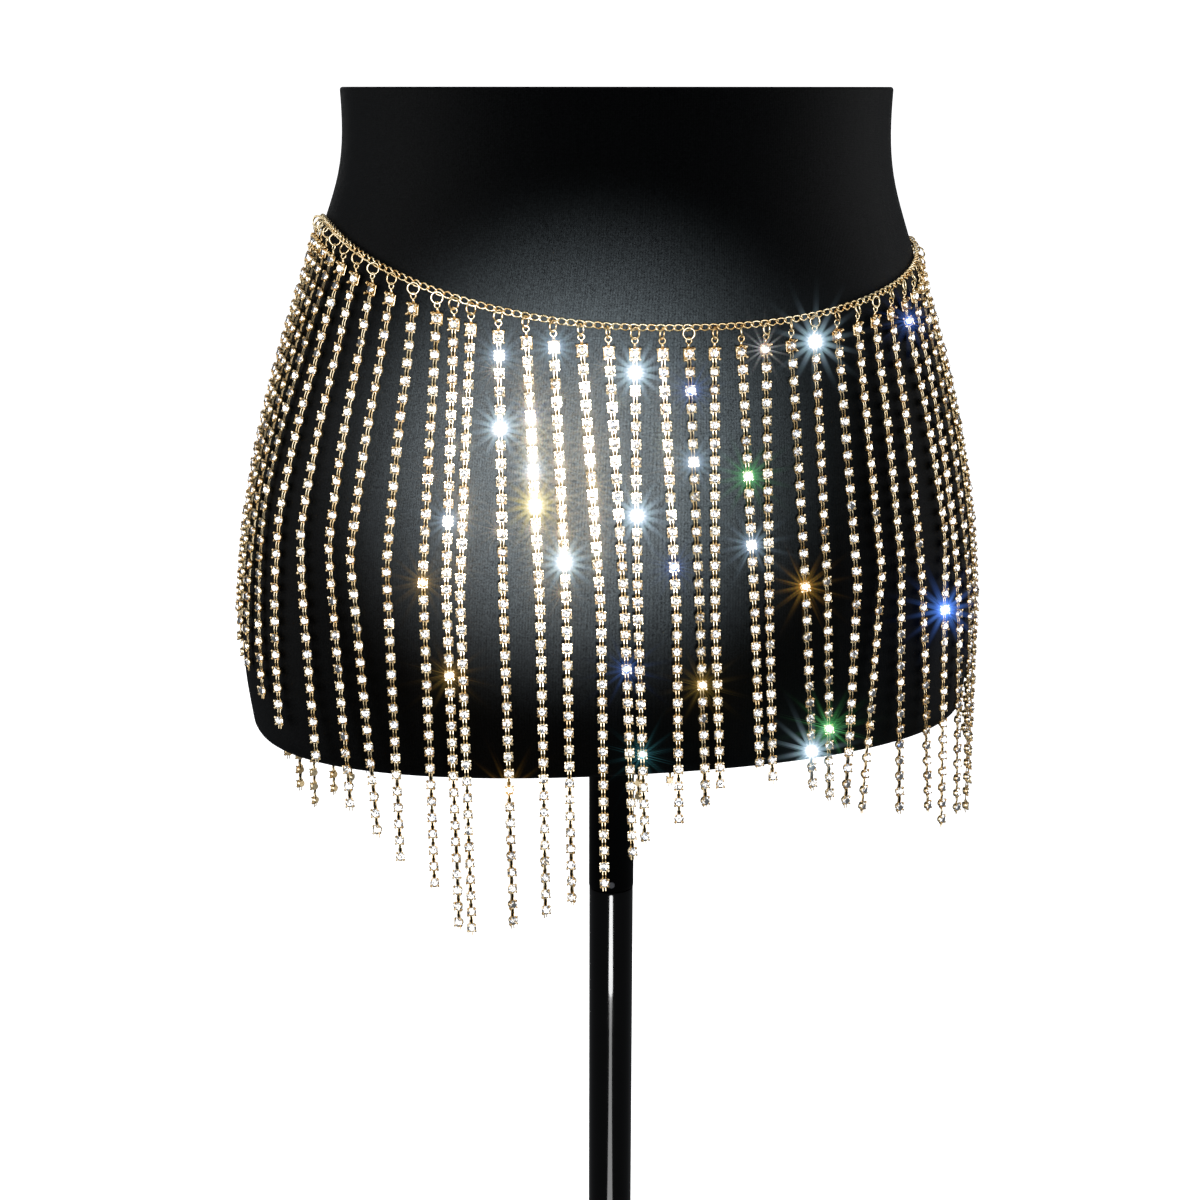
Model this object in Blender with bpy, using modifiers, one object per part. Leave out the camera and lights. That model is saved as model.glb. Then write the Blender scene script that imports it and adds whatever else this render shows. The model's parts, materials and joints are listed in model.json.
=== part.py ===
"""Crystal chain skirt on a dress form.

A curb waist chain carries strands of crystal cup chain and is closed at the back by a
lobster clasp, with a plain extension chain hanging from its end ring. It rests on a
limbless hip form covered in jersey, on a pole with a round base.
Units are metres, +Z is up, the front faces -Y, and the origin is at the centre of the
base's underside.
"""
import math
from collections import namedtuple

import bmesh
import bpy
import numpy as np
from mathutils import Vector

COLLECTION_NAME = "crystal_chain_skirt"
CUTTER_COLLECTION = "cutters"
GAP = 0.0003

# Stand
BASE_RADIUS = 0.130
BASE_RIM_THICKNESS = 0.005
BASE_THICKNESS = 0.009
BASE_EDGE = 0.0015
POLE_RADIUS = 0.0095
SPIGOT_RADIUS = 0.0062
SPIGOT_LENGTH = 0.040
COLLAR_RADIUS = 0.0165
COLLAR_HEIGHT = 0.022
COLLAR_CHAMFER = 0.002
SLEEVE_RADIUS = 0.0097
SLEEVE_LENGTH = 0.0790
FLANGE_RADIUS = 0.034
FLANGE_THICKNESS = 0.0035
SET_SCREW_DROP = 0.0750
SET_SCREW_RADIUS = 0.0014
SET_SCREW_PROUD = 0.0012
SET_SCREW_TURN = math.radians(-10.0)
ROUND_STEPS = 32
BASE_STEPS = 48

# Hip form: heights are levels above its underside
FORM_BOTTOM = 0.3335
FORM_TOP = 0.2620
FORM_TOP_RISE_TO_FRONT = 0.064
FORM_TOP_RISE_TO_LEFT = 0.009
FORM_TILT_START = 0.2165
FORM_EDGE_RADIUS = 0.007
FORM_TOP_EDGE = 0.0012
SECTION_POWER = 2.25
FORM_COLUMNS = 64
FORM_ROWS = 20
EDGE_STEPS = 3
Section = namedtuple("Section", "level half_width front_depth back_depth")
FORM_SECTIONS = (
    Section(0.000, 0.1505, 0.0845, 0.1120),
    Section(0.030, 0.1542, 0.0855, 0.1240),
    Section(0.070, 0.1525, 0.0872, 0.1320),
    Section(0.110, 0.1460, 0.0895, 0.1300),
    Section(0.140, 0.1387, 0.0920, 0.1215),
    Section(0.170, 0.1296, 0.0945, 0.1098),
    Section(0.200, 0.1196, 0.1000, 0.0968),
    Section(0.230, 0.1100, 0.1040, 0.0880),
    Section(0.285, 0.1100, 0.1040, 0.0830),
)

# Waist chain: a curb chain of 224 links, with a strand on every third one
LINK_PITCH = 0.00335
LINKS_PER_STRAND = 3
CHAIN_HEIGHT = 0.0031
CHAIN_THICKNESS = 0.0018
CHAIN_CLEARANCE = 0.0006
CHAIN_LEVEL = 0.1892
CHAIN_FRONT_RISE = 0.0052
CHAIN_LEFT_RISE = 0.0058
CHAIN_SIDE_RISE = 0.0132
CHAIN_SIDE_PEAK = 0.0040
CHAIN_PEAK_POWER = 12
CHAIN_BACK_DIP = 0.0215
CHAIN_END = 0.0066
CHAIN_SAMPLES = 1441
ORIGIN_STRAND_AT = -0.0205
FIRST_STRAND = -37
LAST_STRAND = 37
CLOSE_STRANDS = (-7, -6)

# Strands of cup chain
STONE_PITCH = 0.0068
FIRST_STONE_DROP = 0.0100
TIP_STUB = 0.0035
STRAND_WIDTH = 0.0039
STRAND_THICKNESS = 0.0026
STRAND_CLEARANCE = 0.0010
NECK_WIDTH = 0.0016
NECK_THICKNESS = 0.0014
NECK_LENGTH = 0.0074
SECTION_SPACING = 0.029
DRAPE_STEP = 0.002
SIDE_GRIP = 3.5
HIP_SWAY_AT = 0.110
TIP_SWAY_AT = 0.240

# The hem is a zigzag: the number of stones at each of its turns
Turn = namedtuple("Turn", "strand stones")
HEM_TURNS = (
    Turn(-37, 25), Turn(-26, 36), Turn(-16, 23), Turn(-5.5, 36.4), Turn(5, 25),
    Turn(15, 35), Turn(26, 23), Turn(37, 35),
)

# How far each front strand hangs to the right at the hip and at its tip, in millimetres,
# and how far its tip stands off where it crosses its neighbour
Sway = namedtuple("Sway", "strand hip tip lift")
SWAYS = (
    Sway(-14, -9, -6, 0), Sway(-13, -12, -2, 0), Sway(-12, -11, -6, 0), Sway(-11, -10, 2, 0),
    Sway(-10, -9, 2, 0), Sway(-9, -12, 0, 0), Sway(-8, -10, -6, 0), Sway(-7, -8, -5, 0),
    Sway(-6, -5, -2, 0), Sway(-5, -6, -3, 0), Sway(-4, 1, 4, 0), Sway(-3, 5, 7, 0),
    Sway(-2, 5, 7, 0), Sway(-1, 8, 10, 0), Sway(0, 7, 12, 0), Sway(1, 2, 7, 0),
    Sway(2, 7, 10, 0), Sway(3, 6, 12, 0), Sway(4, 2, 8, 0), Sway(5, 8, 15, 0),
    Sway(6, 4, 10, 0), Sway(7, 10, 19, 0), Sway(8, 10, 16, 0), Sway(9, 15, 12, 0),
    Sway(10, 18, 10, 0), Sway(11, 16, 22, 0), Sway(12, 14, 29, 0), Sway(13, 18, 10, 7),
    Sway(14, 12, 26, 0), Sway(15, 10, 27, 0),
)
SWAY_FADE = 12
BACK_SWAY = 0.0012

# Closure at the back
CLASP_LENGTH = 0.0098
CLASP_HEIGHT = 0.0056
CLASP_WIRE = 0.0009
RING_RADIUS = 0.0017
RING_WIRE = 0.0004
LOOP_POINTS = 16
EXTENSION_LENGTH = 0.450
EXTENSION_WIDTH = 0.0030
EXTENSION_THICKNESS = 0.0016


def remove_old_objects():
    for old in list(bpy.data.objects):
        bpy.data.objects.remove(old, do_unlink=True)


def make_material(name, colour, roughness, metallic=0.0):
    material = bpy.data.materials.new(name)
    material.use_nodes = True
    shader = material.node_tree.nodes["Principled BSDF"]
    shader.inputs["Base Color"].default_value = (*colour, 1.0)
    shader.inputs["Roughness"].default_value = roughness
    shader.inputs["Metallic"].default_value = metallic
    return material


def add_object(name, mesh, material, smooth_angle=40.0):
    mesh.materials.append(material)
    mesh.shade_smooth()
    mesh.set_sharp_from_angle(angle=math.radians(smooth_angle))
    piece = bpy.data.objects.new(name, mesh)
    bpy.data.collections[COLLECTION_NAME].objects.link(piece)
    return piece


def mesh_from(bm, name):
    mesh = bpy.data.meshes.new(name)
    bm.to_mesh(mesh)
    bm.free()
    return mesh


def loft(bm, loops):
    """Close a run of like loops into one solid, and return its two end faces."""
    count = len(loops[0])
    for first, second in zip(loops, loops[1:]):
        for i in range(count):
            j = (i + 1) % count
            bm.faces.new((first[i], first[j], second[j], second[i]))
    caps = [bm.faces.new(loops[0][::-1]), bm.faces.new(loops[-1])]
    bmesh.ops.recalc_face_normals(bm, faces=bm.faces)
    return caps


def turned(name, profile, material, steps=ROUND_STEPS, ring=False):
    """A solid of revolution: the profile runs down its outer side, top to bottom."""
    mesh = bpy.data.meshes.new(name)
    edges = [(i, i + 1) for i in range(len(profile) - 1)]
    if ring:
        edges.append((len(profile) - 1, 0))
    mesh.from_pydata([(radius, 0.0, height) for radius, height in profile], edges, [])
    piece = add_object(name, mesh, material)
    screw = piece.modifiers.new("turn", "SCREW")
    screw.axis = "Z"
    screw.steps = steps
    screw.render_steps = steps
    screw.use_merge_vertices = True
    screw.merge_threshold = 0.00001
    return piece


# The hip form's surface

def section_value(column, level):
    """A column of the section table at any level, on a smooth curve through its rows."""
    levels = np.array([row.level for row in FORM_SECTIONS])
    values = np.array([getattr(row, column) for row in FORM_SECTIONS])
    slopes = np.gradient(values, levels)
    level = np.clip(level, levels[0], levels[-1])
    i = np.clip(np.searchsorted(levels, level, side="right") - 1, 0, len(levels) - 2)
    span = levels[i + 1] - levels[i]
    t = (level - levels[i]) / span
    start = values[i] * (1 + 2 * t) * (1 - t) ** 2 + slopes[i] * span * t * (1 - t) ** 2
    end = values[i + 1] * t * t * (3 - 2 * t) + slopes[i + 1] * span * t * t * (t - 1)
    return start + end


def section_point(turn, level, offset=0.0):
    """The point of the form's section at an angle from the front, positive to the right."""
    s, c = np.sin(turn), np.cos(turn)
    depth = section_value("front_depth" if c > 0 else "back_depth", level) + offset
    width = section_value("half_width", level) + offset
    x = width * np.sign(s) * abs(s) ** (2 / SECTION_POWER)
    y = -depth * np.sign(c) * abs(c) ** (2 / SECTION_POWER)
    return np.array([x, y, level])


def section_gradient(point, offset):
    """The section's equation at a point, below zero inside, and its outward gradient."""
    x, y, level = point
    width = section_value("half_width", level) + offset
    depth = section_value("front_depth" if y < 0 else "back_depth", level) + offset
    value = (abs(x) / width) ** SECTION_POWER + (abs(y) / depth) ** SECTION_POWER - 1
    gx = SECTION_POWER * np.sign(x) * (abs(x) / width) ** (SECTION_POWER - 1) / width
    gy = SECTION_POWER * np.sign(y) * (abs(y) / depth) ** (SECTION_POWER - 1) / depth
    return value, gx, gy


def outward(point):
    """The level outward direction of the form at a point, and the one to its right."""
    _, gx, gy = section_gradient(point, 0.0)
    size = math.hypot(gx, gy)
    out = np.array([gx, gy, 0.0]) / size
    return out, np.array([-out[1], out[0], 0.0])


def push_out(point, offset):
    """Move a point that lies inside the form's surface out to it, mostly sideways."""
    point = np.array(point)
    for _ in range(8):
        value, gx, gy = section_gradient(point, offset)
        if value >= 0:
            break
        step = -value / (gx * gx * SIDE_GRIP + gy * gy)
        point[0] += step * gx * SIDE_GRIP
        point[1] += step * gy
    return point


# The waist chain's path, measured from the centre front

def chain_level(turn):
    s, c = math.sin(turn), math.cos(turn)
    level = CHAIN_LEVEL + CHAIN_FRONT_RISE * c - CHAIN_LEFT_RISE * s
    level -= CHAIN_SIDE_RISE * math.cos(2 * turn)
    level += CHAIN_SIDE_PEAK * s ** CHAIN_PEAK_POWER
    return level - CHAIN_BACK_DIP * min(c, 0.0) ** 2


class ChainPath:
    def __init__(self):
        self.turns = np.linspace(-math.pi, math.pi, CHAIN_SAMPLES)
        middle = CHAIN_CLEARANCE + CHAIN_THICKNESS / 2
        points = [section_point(turn, chain_level(turn), middle) for turn in self.turns]
        steps = np.linalg.norm(np.diff(points, axis=0), axis=1)
        along = np.concatenate([[0.0], np.cumsum(steps)])
        self.along = along - np.interp(0.0, self.turns, along)
        self.girth = along[-1]

    def turn(self, place):
        """The angle at a place along the chain; places past the back wrap round."""
        half = self.along[-1]
        place = place - self.girth if place > half else place
        place = place + self.girth if place < self.along[0] else place
        return float(np.interp(place, self.along, self.turns))

    def point(self, place, rise=0.0, offset=CHAIN_CLEARANCE + CHAIN_THICKNESS / 2):
        turn = self.turn(place)
        return section_point(turn, chain_level(turn) + rise, offset)


def strand_place(strand):
    """Where a strand hangs along the chain; two strands near the front are closer."""
    links = strand * LINKS_PER_STRAND
    links += sum(1 for close in CLOSE_STRANDS if strand <= close)
    return ORIGIN_STRAND_AT + links * LINK_PITCH


def strand_stones(strand):
    strands = [turn.strand for turn in HEM_TURNS]
    stones = [turn.stones for turn in HEM_TURNS]
    return int(round(float(np.interp(strand, strands, stones))))


def strand_length(strand):
    return FIRST_STONE_DROP + (strand_stones(strand) - 1) * STONE_PITCH + TIP_STUB


def strand_sway(strand):
    """Sideways hang at the hip and tip, and the tip's lift, in metres."""
    rows = {row.strand: row for row in SWAYS}
    if strand in rows:
        row = rows[strand]
        return row.hip / 1000, row.tip / 1000, row.lift / 1000
    near = rows[min(rows)] if strand < 0 else rows[max(rows)]
    left = max(0.0, 1 - abs(strand - near.strand) / SWAY_FADE)
    wave = BACK_SWAY * math.sin(1.9 * strand)
    return near.hip / 1000 * left + wave, near.tip / 1000 * left + wave, 0.0


def drape(start, length, offset, sway=(0.0, 0.0, 0.0)):
    """Walk down from a point by gravity, kept outside the form, with a sideways hang."""
    hip, tip, lift = sway
    steps = int(round(length / DRAPE_STEP))
    step = length / steps
    out, right = outward(start)
    points = [np.array(start)]
    before = np.zeros(3)
    for i in range(1, steps + 1):
        down = i * step
        aside = np.interp(down, [0.0, HIP_SWAY_AT, TIP_SWAY_AT], [0.0, hip, tip])
        off = lift * max(0.0, 2 * down / length - 1)
        hang = right * aside + out * off
        goal = push_out(points[-1] + hang - before - np.array([0, 0, step]), offset)
        before = hang
        move = goal - points[-1]
        move *= step / np.linalg.norm(move)
        points.append(push_out(points[-1] + move, offset))
    return np.array(points)


def path_sections(points, distances):
    """Positions along a draped path, each with its down, right and out directions."""
    steps = np.linalg.norm(np.diff(points, axis=0), axis=1)
    along = np.concatenate([[0.0], np.cumsum(steps)])
    for distance in distances:
        place = np.array([np.interp(distance, along, points[:, k]) for k in range(3)])
        before = np.array([np.interp(distance - 0.004, along, points[:, k]) for k in range(3)])
        after = np.array([np.interp(distance + 0.004, along, points[:, k]) for k in range(3)])
        down = (after - before) / np.linalg.norm(after - before)
        _, right = outward(place)
        right = right - down * right.dot(down)
        right /= np.linalg.norm(right)
        yield place, right, np.cross(down, right)


def lifted(point):
    return Vector((float(point[0]), float(point[1]), float(point[2]) + FORM_BOTTOM))


# Fringed waist chain

def strip_columns():
    """Places of the strip's cross-sections: its ends and the two edges of each root."""
    strands = range(FIRST_STRAND, LAST_STRAND + 1)
    columns = [strand_place(FIRST_STRAND) - CHAIN_END]
    for strand in strands:
        columns.append(strand_place(strand) - NECK_WIDTH / 2)
        columns.append(strand_place(strand) + NECK_WIDTH / 2)
    columns.append(strand_place(LAST_STRAND) + CHAIN_END)
    return columns


def make_strip(bm, path):
    """The chain's strip: an inner sheet on the form's surface, thickened outwards."""
    columns = strip_columns()
    outer_offset = CHAIN_CLEARANCE + CHAIN_THICKNESS
    half = CHAIN_HEIGHT / 2
    corners = ((-half, CHAIN_CLEARANCE), (half, CHAIN_CLEARANCE), (half, outer_offset),
               (-half, outer_offset))
    loops = []
    for place in columns:
        loops.append([bm.verts.new(lifted(path.point(place, *corner))) for corner in corners])
    loft(bm, loops)
    return loops


def section_corners(place, right, out, width, thickness):
    """Corners in a root face's order: left outer, left inner, right inner, right outer."""
    across, deep = right * width / 2, out * thickness / 2
    return (place - across + deep, place - across - deep, place + across - deep,
            place + across + deep)


def strand_profile(length):
    """Distances down a strand, with its width and thickness there."""
    rows = [(NECK_LENGTH, NECK_WIDTH, NECK_THICKNESS)]
    count = max(3, math.ceil((length - NECK_LENGTH) / SECTION_SPACING))
    for distance in np.linspace(NECK_LENGTH + GAP, length, count + 1):
        rows.append((distance, STRAND_WIDTH, STRAND_THICKNESS))
    return rows


def grow_strand(bm, face, strand, path):
    """Extrude one strand out of its root face, down its draped path."""
    length = strand_length(strand)
    offset = STRAND_CLEARANCE + STRAND_THICKNESS / 2
    points = drape(path.point(strand_place(strand)), length, offset, strand_sway(strand))
    profile = strand_profile(length)
    sections = path_sections(points, [row[0] for row in profile])
    for (place, right, out), (_, width, thickness) in zip(sections, profile):
        face = bmesh.ops.extrude_discrete_faces(bm, faces=[face])["faces"][0]
        corners = section_corners(place, right, out, width, thickness)
        for vert, corner in zip(face.verts, corners):
            vert.co = lifted(corner)


def make_fringed_chain(path, material):
    bm = bmesh.new()
    loops = make_strip(bm, path)
    for index, strand in enumerate(range(FIRST_STRAND, LAST_STRAND + 1)):
        left, right = loops[1 + 2 * index], loops[2 + 2 * index]
        root = bm.faces.get((left[3], left[0], right[0], right[3]))
        grow_strand(bm, root, strand, path)
    bmesh.ops.recalc_face_normals(bm, faces=bm.faces)
    name = "fringed_waist_chain"
    return add_object(name, mesh_from(bm, name), material)


# Closure and extension chain

def make_loop(name, path, place, half_length, half_height, wire, material):
    """A closed wire loop that lies on the form along the chain."""
    curve = bpy.data.curves.new(name, "CURVE")
    curve.dimensions = "3D"
    curve.bevel_depth = wire
    curve.bevel_resolution = 1
    spline = curve.splines.new("POLY")
    spline.points.add(LOOP_POINTS - 1)
    spline.use_cyclic_u = True
    for i, point in enumerate(spline.points):
        angle = 2 * math.pi * i / LOOP_POINTS
        along = place + half_length * math.cos(angle)
        rise = half_height * math.sin(angle)
        spot = lifted(path.point(along, rise, CHAIN_CLEARANCE + wire))
        point.co = (*spot, 1.0)
    curve.materials.append(material)
    piece = bpy.data.objects.new(name, curve)
    bpy.data.collections[COLLECTION_NAME].objects.link(piece)
    return piece


def make_closure(path, material):
    """The clasp on the chain's left end, and the ring on its right end with the tail."""
    right_end = strand_place(LAST_STRAND) + CHAIN_END
    left_end = path.girth + strand_place(FIRST_STRAND) - CHAIN_END
    ring_reach = RING_RADIUS + RING_WIRE
    ring_place = right_end + GAP + ring_reach
    clasp_place = left_end - GAP - CLASP_LENGTH / 2
    make_loop("end_ring", path, ring_place, RING_RADIUS, RING_RADIUS, RING_WIRE, material)
    make_loop("lobster_clasp", path, clasp_place, CLASP_LENGTH / 2 - CLASP_WIRE,
              CLASP_HEIGHT / 2 - CLASP_WIRE, CLASP_WIRE, material)
    make_extension(path, ring_place, -ring_reach - GAP, material)


def make_extension(path, place, rise, material):
    """The plain chain that hangs from the end ring: one bar down its draped path."""
    offset = CHAIN_CLEARANCE + EXTENSION_THICKNESS / 2
    points = drape(path.point(place, rise), EXTENSION_LENGTH, offset)
    count = math.ceil(EXTENSION_LENGTH / SECTION_SPACING)
    bm = bmesh.new()
    loops = []
    for spot, right, out in path_sections(points, np.linspace(0, EXTENSION_LENGTH, count + 1)):
        corners = section_corners(spot, right, out, EXTENSION_WIDTH, EXTENSION_THICKNESS)
        loops.append([bm.verts.new(lifted(corner)) for corner in corners])
    loft(bm, loops)
    return add_object("extension_chain", mesh_from(bm, "extension_chain"), material)


# Hip form

def form_rows():
    """Each section's level and inset: both edges rounded, even steps between."""
    rows = []
    for i in range(EDGE_STEPS):
        angle = math.pi / 2 * i / EDGE_STEPS
        inset = FORM_EDGE_RADIUS * (1 - math.sin(angle))
        rows.append((FORM_EDGE_RADIUS * (1 - math.cos(angle)), inset))
    shoulder = FORM_TOP - FORM_TOP_EDGE
    rows += [(level, 0.0) for level in np.linspace(FORM_EDGE_RADIUS, shoulder, FORM_ROWS)]
    rows.append((shoulder + FORM_TOP_EDGE * 0.7, FORM_TOP_EDGE * 0.3))
    rows.append((FORM_TOP, FORM_TOP_EDGE))
    return rows


def form_point(turn, level, inset):
    """A point of the form; towards its top the sections tilt with the top cut."""
    point = section_point(turn, level, -inset)
    share = max(0.0, (level - FORM_TILT_START) / (FORM_TOP - FORM_TILT_START))
    rise = -FORM_TOP_RISE_TO_FRONT * point[1] - FORM_TOP_RISE_TO_LEFT * point[0]
    return lifted(point + np.array([0.0, 0.0, share * rise]))


def make_form(material):
    bm = bmesh.new()
    loops = []
    for level, inset in form_rows():
        turns = [2 * math.pi * (i + 0.5) / FORM_COLUMNS - math.pi for i in range(FORM_COLUMNS)]
        loops.append([bm.verts.new(form_point(turn, level, inset)) for turn in turns])
    bmesh.ops.poke(bm, faces=loft(bm, loops))
    return add_object("hip_form", mesh_from(bm, "hip_form"), material)


# Stand

def make_base(material):
    rim = BASE_RIM_THICKNESS
    profile = [(0.0, BASE_THICKNESS), (2 * COLLAR_RADIUS, BASE_THICKNESS),
               (BASE_RADIUS - 4 * BASE_EDGE, rim + BASE_EDGE), (BASE_RADIUS - BASE_EDGE, rim),
               (BASE_RADIUS, rim - BASE_EDGE), (BASE_RADIUS, BASE_EDGE),
               (BASE_RADIUS - BASE_EDGE, 0.0), (0.0, 0.0)]
    return turned("base", profile, material, BASE_STEPS)


def make_collar(material):
    bottom = BASE_THICKNESS + GAP
    top = bottom + COLLAR_HEIGHT
    bore = POLE_RADIUS + GAP
    profile = [(bore, top), (COLLAR_RADIUS - COLLAR_CHAMFER, top),
               (COLLAR_RADIUS, top - COLLAR_CHAMFER), (COLLAR_RADIUS, bottom), (bore, bottom)]
    return turned("pole_collar", profile, material, ring=True)


def make_pole(material):
    shoulder = FORM_BOTTOM - SLEEVE_LENGTH - GAP
    top = shoulder + SPIGOT_LENGTH
    bottom = BASE_THICKNESS + GAP
    profile = [(0.0, top), (SPIGOT_RADIUS, top), (SPIGOT_RADIUS, shoulder),
               (POLE_RADIUS, shoulder), (POLE_RADIUS, bottom), (0.0, bottom)]
    return turned("pole", profile, material)


def set_screw_blank(name, radius, start, end, steps=24):
    """A cylinder that points out of the sleeve, from one distance to another."""
    length = end - start
    bpy.ops.mesh.primitive_cylinder_add(vertices=steps, radius=radius, depth=length)
    piece = bpy.context.object
    piece.name = name
    piece.data.name = name
    for collection in list(piece.users_collection):
        collection.objects.unlink(piece)
    middle = (start + end) / 2
    level = FORM_BOTTOM - SET_SCREW_DROP
    piece.location = (math.sin(SET_SCREW_TURN) * middle, -math.cos(SET_SCREW_TURN) * middle, level)
    piece.rotation_euler = (math.pi / 2, 0.0, SET_SCREW_TURN)
    return piece


def make_sleeve(material):
    """The form's socket: a flange under the form and a sleeve round the pole's spigot."""
    top = FORM_BOTTOM - GAP
    bottom = FORM_BOTTOM - SLEEVE_LENGTH
    under = top - FLANGE_THICKNESS
    bore = SPIGOT_RADIUS + GAP
    profile = [(0.0, top), (FLANGE_RADIUS, top), (FLANGE_RADIUS, under), (SLEEVE_RADIUS, under),
               (SLEEVE_RADIUS, bottom), (bore, bottom), (bore, bottom + SPIGOT_LENGTH + GAP),
               (0.0, bottom + SPIGOT_LENGTH + GAP)]
    sleeve = turned("form_socket", profile, material)
    hole = set_screw_blank("set_screw_hole", SET_SCREW_RADIUS + GAP, 0.0, 2 * SLEEVE_RADIUS)
    hole.hide_render = True
    hole.display_type = "WIRE"
    bpy.data.collections[CUTTER_COLLECTION].objects.link(hole)
    cut = sleeve.modifiers.new("set_screw_hole", "BOOLEAN")
    cut.operation = "DIFFERENCE"
    cut.object = hole
    return sleeve


def make_set_screw(material):
    screw = set_screw_blank("set_screw", SET_SCREW_RADIUS, SPIGOT_RADIUS + GAP,
                            SLEEVE_RADIUS + SET_SCREW_PROUD)
    screw.data.materials.append(material)
    bpy.data.collections[COLLECTION_NAME].objects.link(screw)
    return screw


def main():
    remove_old_objects()
    for name in (COLLECTION_NAME, CUTTER_COLLECTION):
        bpy.context.scene.collection.children.link(bpy.data.collections.new(name))
    crystal = make_material("crystal_cup_chain", (0.86, 0.72, 0.45), 0.18, 1.0)
    gold = make_material("gold_plate", (0.83, 0.60, 0.29), 0.25, 1.0)
    jersey = make_material("black_jersey", (0.012, 0.012, 0.014), 0.85)
    gloss_black = make_material("gloss_black", (0.008, 0.008, 0.008), 0.12)
    satin_black = make_material("satin_black", (0.010, 0.010, 0.010), 0.45)
    steel = make_material("set_screw_steel", (0.45, 0.45, 0.46), 0.35, 1.0)
    path = ChainPath()
    make_fringed_chain(path, crystal)
    make_closure(path, gold)
    make_form(jersey)
    make_sleeve(satin_black)
    make_set_screw(steel)
    make_pole(gloss_black)
    make_collar(gloss_black)
    make_base(gloss_black)


main()
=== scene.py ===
"""The looks of the crystal chain skirt and the dress form that it rests on.

Every link, ring, cup and stone is a mesh template that is copied along the same chain path
and draped strands as the part's solids. Units are metres, +Z is up and the front faces -Y.
"""
import json
import math
from collections import namedtuple

import bmesh
import bpy
import numpy as np
from mathutils import Matrix, Vector

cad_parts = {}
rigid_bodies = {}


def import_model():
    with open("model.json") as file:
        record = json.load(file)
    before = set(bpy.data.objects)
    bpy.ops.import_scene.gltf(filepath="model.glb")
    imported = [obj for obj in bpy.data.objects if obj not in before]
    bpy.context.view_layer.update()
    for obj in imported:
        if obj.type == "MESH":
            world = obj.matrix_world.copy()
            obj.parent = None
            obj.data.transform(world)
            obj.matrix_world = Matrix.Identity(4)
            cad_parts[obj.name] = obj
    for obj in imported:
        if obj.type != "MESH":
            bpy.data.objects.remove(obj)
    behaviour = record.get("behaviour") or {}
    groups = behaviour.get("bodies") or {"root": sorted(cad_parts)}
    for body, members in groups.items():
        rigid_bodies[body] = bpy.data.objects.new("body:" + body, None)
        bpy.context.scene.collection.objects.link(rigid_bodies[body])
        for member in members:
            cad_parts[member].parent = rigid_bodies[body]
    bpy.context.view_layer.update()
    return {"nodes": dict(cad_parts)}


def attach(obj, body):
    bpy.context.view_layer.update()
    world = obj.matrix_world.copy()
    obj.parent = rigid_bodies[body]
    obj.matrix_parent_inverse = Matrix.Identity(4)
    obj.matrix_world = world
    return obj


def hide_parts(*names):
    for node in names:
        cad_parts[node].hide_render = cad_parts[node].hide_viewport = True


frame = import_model()

# Camera, fitted to the photograph
IMAGE_WIDTH = 1200
SENSOR = 36.0
FOCAL_PIXELS = 2409.0
CAMERA_TARGET = Vector((-0.0053, 0.0, 0.3836))
CAMERA_DISTANCE = 1.015
CAMERA_AZIMUTH = math.radians(-10.3)
CAMERA_ELEVATION = math.radians(15.7)
CAMERA_ROLL = math.radians(0.17)

# Stand
BASE_RADIUS = 0.130
BASE_RIM_THICKNESS = 0.005
BASE_THICKNESS = 0.009
BASE_EDGE = 0.0015
POLE_RADIUS = 0.0095
COLLAR_RADIUS = 0.0165
COLLAR_HEIGHT = 0.022
COLLAR_CHAMFER = 0.002
SPIGOT_RADIUS = 0.0062
SPIGOT_LENGTH = 0.040
SLEEVE_RADIUS = 0.0097
SLEEVE_LENGTH = 0.0790
FLANGE_RADIUS = 0.034
FLANGE_THICKNESS = 0.0035
EDGE_ROUND = 0.0005
ROUND_SIDES = 96

# Hip form: heights are levels above its underside
FORM_BOTTOM = 0.3335
FORM_TOP = 0.2620
FORM_TOP_RISE_TO_FRONT = 0.064
FORM_TOP_RISE_TO_LEFT = 0.009
FORM_TILT_START = 0.2165
FORM_EDGE_RADIUS = 0.007
FORM_TOP_EDGE = 0.0012
SECTION_POWER = 2.25
FORM_GIRTH = 0.75
KNIT_WALE = 0.00085
KNIT_COURSE = 0.00060
FORM_COLUMNS = 160
FORM_ROWS = 64
EDGE_STEPS = 8
Section = namedtuple("Section", "level half_width front_depth back_depth")
FORM_SECTIONS = (
    Section(0.000, 0.1505, 0.0845, 0.1120),
    Section(0.030, 0.1542, 0.0855, 0.1240),
    Section(0.070, 0.1525, 0.0872, 0.1320),
    Section(0.110, 0.1460, 0.0895, 0.1300),
    Section(0.140, 0.1387, 0.0920, 0.1215),
    Section(0.170, 0.1296, 0.0945, 0.1098),
    Section(0.200, 0.1196, 0.1000, 0.0968),
    Section(0.230, 0.1100, 0.1040, 0.0880),
    Section(0.285, 0.1100, 0.1040, 0.0830),
)

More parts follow.
